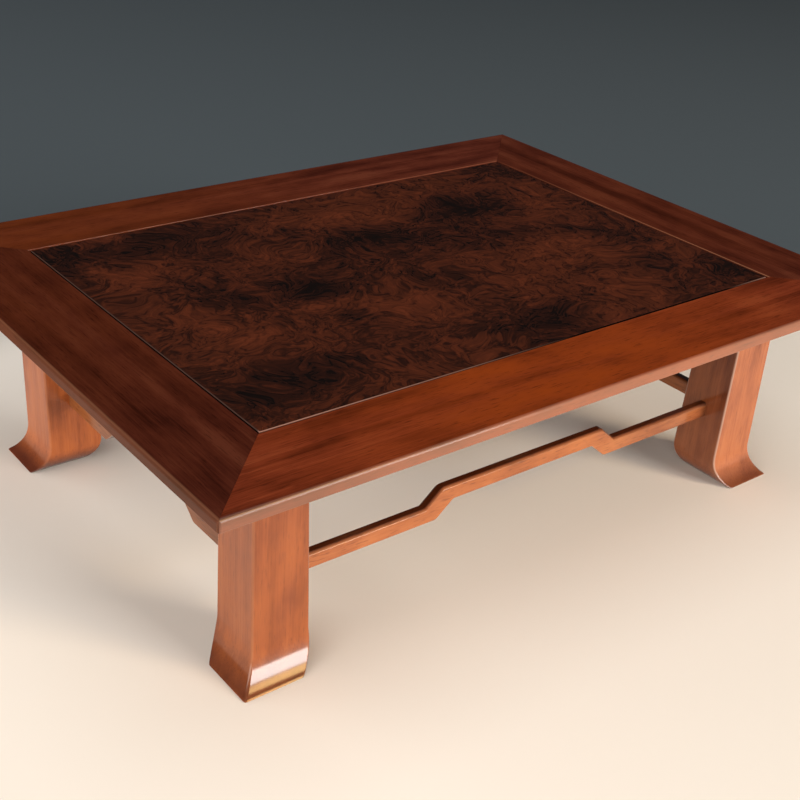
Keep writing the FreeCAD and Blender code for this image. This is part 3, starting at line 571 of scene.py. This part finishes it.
def makeBurlPanel(material, values=panelSettings):
    board = panelHigh[:2] - values["tongue"]  # half sizes of the raised board
    ease = values["ease"]
    x = np.linspace(-1, 1, values["columns"]) * (board[0] - ease)
    y = np.linspace(-1, 1, values["rows"])[:, None] * (board[1] - ease)
    x, y = np.broadcast_arrays(x, y)
    top = np.stack([x, y, np.full(x.shape, panelHigh[2])], axis=-1)
    faces, rim = gridFaces(x.shape)
    # the loops below the rim: how far each stands out from it, and its height
    quarter = np.linspace(0, math.pi / 2, values["easeSteps"] + 1)[1:]
    back = panelLow[2]
    tongueTop = back + values["tongueTop"]
    tongueOut = ease + values["tongue"]
    out = np.concatenate([ease * np.sin(quarter), [ease, tongueOut, tongueOut]])
    height = np.concatenate([
        panelHigh[2] - ease * (1 - np.cos(quarter)), [tongueTop, tongueTop, back]])
    edge = np.stack([x.ravel()[rim], y.ravel()[rim]], axis=-1)
    loops = edge * (1 + out[:, None, None] / (board - ease))
    heights = np.broadcast_to(height[:, None, None], loops.shape[:2] + (1,))
    loops = np.concatenate([loops, heights], axis=-1)
    ring, around = loopFaces(len(out) + 1, len(rim))
    # the first loop is the grid's own rim, so its numbers stand in for the loop's
    number = np.concatenate([rim, x.size + np.arange(len(out) * len(rim))])
    faces = faces.tolist() + number[np.array(around)].tolist() + [number[ring[-1]].tolist()]
    points = np.concatenate([top.reshape(-1, 3), loops.reshape(-1, 3)])
    # the front arris is palest, partly worn and partly a painted highlight, more so towards its left
    # end and again in its right corner
    place = edge[:, 0] / board[0]
    frontWearAndHighlight = np.maximum(shareBetween(place, *values["leftWearAndHighlight"]),
                           shareBetween(place, *values["rightWearAndHighlight"]))
    rimWearAndHighlight = np.where(edge[:, 1] < -board[1] + 2 * ease, frontWearAndHighlight, values["wearAndHighlight"])
    overArris = np.zeros(len(out))
    overArris[:len(quarter)] = np.sin(2 * quarter)
    wornAndHighlit = np.concatenate([np.zeros(x.size), np.outer(overArris, rimWearAndHighlight).ravel()])
    # painted shade: the board's sides, down in the gap beside the frame, are made as dark as the
    # darkest cloud
    sides = np.repeat(values["sideShade"] * (height > back), len(rim))
    cloudAndShade = np.concatenate([sumEllipses(x, y, values["clouds"]).ravel(), sides])
    swell = np.concatenate([sumEllipses(x, y, values["eyes"]).ravel(), np.zeros(len(sides))])
    film = np.arange(len(points)) < x.size
    addPiece("burlPanel", points, faces, material, "burl_panel", dict(
        arris=wornAndHighlit, cloudAndShade=cloudAndShade, swell=swell, film=film))


makeBurlPanel(makeBurl("walnutBurl"))
print("panel: burl board with its tongue")


# A leg: a square with rounded arrises, carried up from the sole. Both outer faces run out to the toe
# on an arc, out = radius - root(radius squared - (flare height - height) squared), the inner faces
# lean in towards the head, and below the heel height they turn in on an arc that starts along the
# lean.
legSettings = dict(
    headWidth=26.6, footWidth=29.0, flareHeight=19.0, flareRadius=24.0, heelHeight=15.2,
    heelRadius=17.0, arris=1.1, toeBlunt=0.45, soleEase=0.3, footRows=46, shaftRows=18,
    endGrain=(0.3, 0.8),  # slopes at which end grain starts to show and shows in full
    # the front-right leg's arris is painted pale as a highlight
    wearAndHighlight=dict(back_right=0.5, back_left=0.5, front_left=0.5, front_right=0.95),
    innerShade=dict(back_right=0.0, back_left=0.0, front_left=0.0, front_right=0.32),
    soakAndShade=dict(back_right=0.6, back_left=0.8, front_left=0.55, front_right=0.62))


# how far the flare has run out where it has come down by drop
def flareOut(drop, values=legSettings):
    return values["flareRadius"] - np.sqrt(values["flareRadius"] ** 2 - drop ** 2)


legLow, legHigh = (np.array(corner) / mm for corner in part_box("leg_front_left"))
legTop = legHigh[2]
# distance of the outer faces from the middle, along x and y
legFace = -legLow[:2] - flareOut(legSettings["flareHeight"])
legLean = legSettings["footWidth"] - legSettings["headWidth"]
legLean = legLean / (legTop - legSettings["heelHeight"])
legPlaces = dict(back_right=(1, 1), back_left=(-1, 1), front_left=(-1, -1), front_right=(1, -1))


def legWidth(height, values=legSettings):
    straight = values["headWidth"] + legLean * (legTop - height)
    # the heel's arc touches the leaning face at the heel height
    lean = math.atan(legLean)
    widest = values["headWidth"] + legLean * (legTop - values["heelHeight"])
    acrossMiddle = widest - values["heelRadius"] * math.cos(lean)
    heightMiddle = values["heelHeight"] - values["heelRadius"] * math.sin(lean)
    below = np.minimum(height - heightMiddle, 0)
    curved = acrossMiddle + np.sqrt(values["heelRadius"] ** 2 - below ** 2)
    return np.where(height < values["heelHeight"], np.minimum(curved, straight), straight)


def makeLeg(corner, material, values=legSettings):
    foot = np.linspace(0, values["flareHeight"], values["footRows"])
    shaft = np.linspace(values["flareHeight"], legTop, values["shaftRows"])[1:]
    height = np.concatenate([[0, values["soleEase"]], foot[2:], shaft])
    drop = np.clip(values["flareHeight"] - np.maximum(height, values["toeBlunt"]), 0, None)
    eased = np.where(height > 0, 0, values["soleEase"])
    outer = flareOut(drop) - eased
    inner = -legWidth(height) + eased
    corners = np.stack([np.stack(pair, axis=-1) for pair in (
        (inner, inner), (outer, inner), (outer, outer), (inner, outer))], axis=-2)
    section, wornAndHighlit = roundCorners(corners, values["arris"])
    signX, signY = legPlaces[corner]
    points = np.stack([
        signX * (legFace[0] + section[..., 0]), signY * (legFace[1] + section[..., 1]),
        np.broadcast_to(height[:, None], section.shape[:-1])], axis=-1)
    # end grain shows as the face leans off the upright grain: its sideways run over the length of
    # its slope
    run = np.linalg.norm(np.gradient(section, height, axis=0), axis=-1)
    slope = run / np.sqrt(1 + run ** 2)
    # the darkening is partly real end grain and partly painted shade on the flares, strongest on the
    # back-left leg
    soakAndShade = values["soakAndShade"][corner] * shareBetween(slope, *values["endGrain"])
    # painted shade on the face that looks inwards along the stand, under the top
    onInner = shareBetween(section[..., 0] - inner[:, None], values["arris"], 0)
    soakAndShade = np.maximum(soakAndShade, values["innerShade"][corner] * onInner)
    index, faces = loopFaces(*points.shape[:2])
    faces += [index[0].tolist(), index[-1].tolist()]
    addPiece("leg_" + corner.replace("_", "."), points, faces, material,
             "leg_" + corner, dict(arris=values["wearAndHighlight"][corner] * wornAndHighlit, soakAndShade=soakAndShade))


legWoods = dict(
    back_right=makeMahogany("mahoganyLegBackRight", "z", (0, 210, 40), (60, 30), depth=1.1),
    # painted light: the back-left leg is painted paler, for the floor's bounce that lights it under
    # the top
    back_left=makeMahogany("mahoganyLegBackLeft", "z", (60, -120, 110), (70, -45), depth=1.35),
    front_left=makeMahogany("mahoganyLegFrontLeft", "z", (-130, 95, -40), (-64, 52)),
    # painted sheen: the front-right leg is painted paler than the others
    front_right=makeMahogany("mahoganyLegFrontRight", "z", (250, 35, 120), (66, -48), depth=1.27,
                             values=paleLegWoodSettings))
for corner in legPlaces:
    makeLeg(corner, legWoods[corner])
print("legs: four")


# A humpback stretcher: low at its ends, then up a ramp to a raised middle. Lower and upper edges are
# straight runs with rounded knees, height as a function of the distance along; the section between
# them, with its two upper arrises taken off, is carried from shoulder to shoulder.
stretcherSettings = dict(
    height=7.9, humpHeight=7.9, ramp=9.8, lead=6.4, knee=3.0, kneeSteps=8, chamfer=1.2, ease=0.3,
    easeSteps=4, seat=0.3, hump=dict(front=91.0, back=91.0, left=67.0, right=67.0),
    rows=60, rampRows=60, rampMargin=6.0,  # finer steps over the ramps
    upperBand=0.2, chamferBand=1.1, chamferWear=0.4,  # bands below the upper edge, in chamfers
    # painted shade on the upper face, and towards one end
    soakAndShade=0.8, endShade=0.28, endShadeRun=(0.9, 1.9))  # the run is in halves of the hump
stretcherWoods = {
    side: makeMahogany("mahoganyStretcher" + side.capitalize(), grain, shift, pith, depth,
                       values=stretcherWoodSettings)
    for side, grain, shift, pith, depth in (
        ("front", "x", (60, -70, 30), (20, -60), 1.36), ("right", "y", (120, 33, 66), (-30, -70), 1.1),
        ("back", "x", (-260, 90, 12), (24, -66), 1.1), ("left", "y", (420, -52, 48), (35, -58), 0.85))}


# heights of one edge at the given places: a level, a ramp between its two knees, and the raised
# level; the outline is closed well below the edge, and only its first four corners are read
def humpEdge(along, level, raised, knees, closeBelow=40, values=stretcherSettings):
    kneeFrom, kneeTo = knees
    farEnd, under = kneeFrom * 2, level - closeBelow
    corners = np.array([(0.0, raised), (kneeTo, raised), (kneeFrom, level), (farEnd, level),
                        (farEnd, under), (0.0, under)])
    radii = (0, values["knee"], values["knee"], 0, 0, 0)
    rounded, _ = roundCorners(corners, radii, values["kneeSteps"])
    upper = rounded[:4 * (values["kneeSteps"] + 1)]
    return np.interp(np.abs(along), upper[:, 0], upper[:, 1])


def makeStretcher(side, values=stretcherSettings):
    name = "stretcher_" + side
    low, high = (np.array(corner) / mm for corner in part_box(name))
    acrossAxis = 1 if side in ("front", "back") else 0
    outer = max(abs(low[acrossAxis]), abs(high[acrossAxis]))
    thickness = high[acrossAxis] - low[acrossAxis]
    shoulder = legFace[1 - acrossAxis] - legWidth((low[2] + high[2]) / 2) + values["seat"]
    halfHump = values["hump"][side] / 2
    crown = high[2]
    lowerKnees = halfHump + np.array([values["ramp"], 0])
    upperKnees = lowerKnees + values["lead"]
    margin = values["rampMargin"]
    close = np.linspace(lowerKnees[1] - margin, upperKnees[0] + margin, values["rampRows"])
    along = np.concatenate([np.linspace(-shoulder, shoulder, values["rows"]), close, -close])
    along = np.unique(np.round(along, 4))
    upper = humpEdge(along, low[2] + values["height"], crown, upperKnees)
    lower = humpEdge(along, low[2], crown - values["humpHeight"], lowerKnees)
    cut = values["chamfer"]
    across = (0, thickness, thickness, thickness - cut, cut, 0)
    heights = (lower, lower, upper - cut, upper, upper, upper - cut)
    corners = np.stack([np.stack([np.full(along.shape, place), height], axis=-1)
                        for place, height in zip(across, heights)], axis=-2)
    section, wornAndHighlit = roundCorners(corners, values["ease"], values["easeSteps"])
    below = (upper[:, None] - section[..., 1]) / cut
    upperFace = below < values["upperBand"]
    wornAndHighlit = np.where((below < values["chamferBand"]) & ~upperFace, values["chamferWear"], wornAndHighlit)
    # painted shade: the upper face, in the shadow of the top, is dark, and the stretcher darkens
    # towards one end
    endShade = values["endShade"] * shareBetween(along / halfHump, *values["endShadeRun"])
    soakAndShade = np.maximum(values["soakAndShade"] * upperFace, endShade[:, None])
    points = onSide(side, along[:, None], section[..., 0] - outer, section[..., 1])
    index, faces = loopFaces(*points.shape[:2])
    faces += [index[0].tolist(), index[-1].tolist()]
    addPiece("humpbackStretcher_" + side, points, faces, stretcherWoods[side], name,
             dict(arris=wornAndHighlit, soakAndShade=soakAndShade))


for side in quarterTurns:
    makeStretcher(side)
print("stretchers: four")


# Countersunk screws: the head's face is rows of points across a disc, sunk along the slot, and loops
# carry its rim down the cone to the shank and the point.
screwSettings = dict(
    head=6.4, shank=3.0, cone=1.9, point=3.0, tip=0.15, tipBand=0.01, slotWidth=0.9, slotDepth=0.8,
    slotWall=0.02, columns=7,
    faceRows=(-0.98, -0.8, -0.5))  # rows on one side of the slot, in radii of the head


def makeScrews(material, values=screwSettings):
    mesh = nodes["button_screws"].data
    places = np.zeros(len(mesh.vertices) * 3)
    mesh.vertices.foreach_get("co", places)
    places = places.reshape(-1, 3) / mm
    face, end = places[:, 2].min(), places[:, 2].max()
    middles = np.unique(np.round(places[places[:, 2] > end - values["tipBand"], :2], 2), axis=0)
    head, slot, wall = values["head"] / 2, values["slotWidth"] / 2, values["slotWall"]
    rows = np.array(values["faceRows"]) * head
    rows = np.concatenate([rows, [-slot, -slot + wall, slot - wall, slot], -rows[::-1]])
    sunk = np.where(np.abs(rows) < slot - wall / 2, values["slotDepth"], 0)
    width = np.sqrt((head - sunk) ** 2 - rows ** 2)
    x = np.linspace(-1, 1, values["columns"]) * width[:, None]
    y = np.broadcast_to(rows[:, None], x.shape)
    top = np.stack([x, y, np.broadcast_to((face + sunk)[:, None], x.shape)], axis=-1)
    faces, rim = gridFaces(x.shape)
    angle = np.arctan2(y.ravel()[rim], x.ravel()[rim])
    shank = values["shank"] / 2
    radius = np.array([shank, shank, values["tip"]])[:, None]
    height = np.array([face + values["cone"], end - values["point"], end])[:, None] + 0 * angle
    loops = np.stack([radius * np.cos(angle), radius * np.sin(angle), height], axis=-1)
    ring, around = loopFaces(len(loops) + 1, len(rim))
    number = np.concatenate([rim, x.size + np.arange(len(loops) * len(rim))])
    faces = np.concatenate([faces, number[np.array(around)]])
    one = np.concatenate([top.reshape(-1, 3), loops.reshape(-1, 3)])
    points = one + np.pad(middles, ((0, 0), (0, 1)))[:, None]
    step = np.arange(len(middles)) * len(one)
    allFaces = (faces + step[:, None, None]).reshape(-1, 4).tolist()
    allFaces += (number[ring[-1]] + step[:, None]).tolist()
    addPiece("buttonScrews", points, allFaces, material, "button_screws", {})
    return len(middles)


print("screws:", makeScrews(makeBrass("dullBrass")))


# CAD nodes that keep their own shape get their wood here
apronWoods = {
    side: makeMahogany("mahoganyApron" + side.capitalize(), grain, shift, depth=depth)
    for side, grain, shift, depth in (
        ("front", "x", (500, 20, 88), 0.75), ("right", "y", (620, 4, 31), 0.75),
        ("back", "x", (810, -31, 57), 0.75), ("left", "y", (930, 66, 14), 0.7))}
maple = makeMaple("bareMaple")
for name, node in nodes.items():
    if name.startswith("apron_"):
        finish = apronWoods[name.removeprefix("apron_")]
    elif name.startswith(("mitre_spline_", "panel_batten_", "top_buttons")):
        finish = maple
    else:
        continue
    node.data.materials.clear()
    node.data.materials.append(finish)
print("kept nodes: aprons, battens, buttons and splines finished")


# The floor: pale near the stand and falling off to a dark grey behind it, by distance in metres from
# its middle. The pale middle is partly the floor's own pale colour and partly a painted pool of light.
stageSettings = dict(
    size=8.0, pale="#ece5dc", far="#434d54", middle=(0.0, -0.18, 0.0), paleTo=0.42, farFrom=0.54,
    roughness=0.9)


def makeStage(values=stageSettings):
    half = values["size"] / 2
    mesh = bpy.data.meshes.new("floor")
    mesh.from_pydata([(-half, -half, 0), (half, -half, 0), (half, half, 0), (-half, half, 0)], [],
                     [(0, 1, 2, 3)])
    material, tree, place = startMaterial("paleFloor")
    away = addNode(tree, "ShaderNodeVectorMath", {0: place, 1: values["middle"]},
                   operation="DISTANCE")
    blend = addNode(tree, "ShaderNodeMapRange", {
        "Value": away.outputs["Value"], "From Min": values["paleTo"],
        "From Max": values["farFrom"]}, interpolation_type="SMOOTHSTEP")
    colour = addNode(tree, "ShaderNodeMix", {
        0: blend.outputs[0], 6: toLinear(values["pale"]), 7: toLinear(values["far"])},
        data_type="RGBA")
    shader = addNode(tree, "ShaderNodeBsdfPrincipled", {
        "Base Color": colour.outputs[2], "Roughness": values["roughness"]})
    addNode(tree, "ShaderNodeOutputMaterial", {"Surface": shader.outputs[0]})
    mesh.materials.append(material)
    floor = bpy.data.objects.new("floor", mesh)
    bpy.context.scene.collection.objects.link(floor)


makeStage()

# Soft boxes round the stand: bearing in degrees right of the front, height angle, distance and size
# in metres, how bright each looks, and whether polished wood mirrors it.
lightSettings = dict(
    window=dict(bearing=22, rise=13, distance=2.6, size=(1.33, 1.0), glow=19.5, colour="#fffbf6"),
    sill=dict(bearing=22, rise=2, distance=2.6, size=(1.33, 0.2), glow=5.5, colour="#fff6ea"),
    warmCard=dict(bearing=28, rise=31, distance=2.6, size=(0.48, 0.54), glow=18.0, colour="#ffd28a"),
    leftFill=dict(bearing=-75, rise=21, distance=2.6, size=(4.2, 1.6), glow=4.3, colour="#fff8f0"),
    backFill=dict(bearing=-140, rise=18, distance=2.6, size=(2.0, 1.0), glow=4.4, colour="#fff8f2",
                  mirrored=False),
    overhead=dict(bearing=0, rise=86, distance=1.6, size=(1.2, 1.2), glow=1.45, colour="#ffffff"))
worldSettings = dict(colour="#363d41", strength=1.0)


# a unit vector at a bearing from the front, towards the right, and a height angle, both in degrees
def lookOut(bearing, rise):
    bearing, rise = math.radians(bearing), math.radians(rise)
    return Vector((math.sin(bearing) * math.cos(rise), -math.cos(bearing) * math.cos(rise),
                   math.sin(rise)))


def addLights():
    target = Vector((0, 0, topHeight / 2 * mm))
    for name, values in lightSettings.items():
        away = lookOut(values["bearing"], values["rise"])
        light = bpy.data.lights.new(name, "AREA")
        light.shape = "RECTANGLE"
        light.size, light.size_y = values["size"]
        light.energy = values["glow"] * math.pi * light.size * light.size_y
        light.color = toLinear(values["colour"])[:3]
        lamp = bpy.data.objects.new(name, light)
        lamp.visible_glossy = values.get("mirrored", True)
        lamp.location = target + away * values["distance"]
        lamp.rotation_euler = (-away).to_track_quat("-Z", "Y").to_euler()
        bpy.context.scene.collection.objects.link(lamp)
    world = bpy.data.worlds.new("studio")
    world.use_nodes = True
    background = world.node_tree.nodes["Background"]
    background.inputs["Color"].default_value = toLinear(worldSettings["colour"])
    background.inputs["Strength"].default_value = worldSettings["strength"]
    bpy.context.scene.world = world


addLights()
print("stage: floor, world and", len(lightSettings), "soft boxes")

# The camera: where it stands, which way it looks (degrees right of +Y, and down), how it is tilted,
# and its lens, sensor and nearest distance
cameraSettings = dict(
    position=(-388.3, -471.8, 366.9), heading=39.58, dip=28.22, roll=4.01, lens=57.9, sensor=36.0,
    nearest=10.0)


def addCamera(values=cameraSettings):
    heading, dip, roll = (math.radians(values[key]) for key in ("heading", "dip", "roll"))
    ahead = Vector((math.sin(heading) * math.cos(dip), math.cos(heading) * math.cos(dip),
                    -math.sin(dip)))
    level = Vector((math.cos(heading), -math.sin(heading), 0))
    upright = level.cross(ahead)
    right = math.cos(roll) * level + math.sin(roll) * upright
    up = math.cos(roll) * upright - math.sin(roll) * level
    turned = Matrix((right, up, -ahead)).transposed().to_4x4()
    data = bpy.data.cameras.new("camera")
    data.lens = values["lens"]
    data.sensor_width = values["sensor"]
    data.clip_start = values["nearest"] * mm
    camera = bpy.data.objects.new("camera", data)
    camera.matrix_world = Matrix.Translation(Vector(values["position"]) * mm) @ turned
    bpy.context.scene.collection.objects.link(camera)
    bpy.context.scene.camera = camera


addCamera()
bpy.context.scene.view_settings.view_transform = "Standard"
bpy.context.view_layer.update()
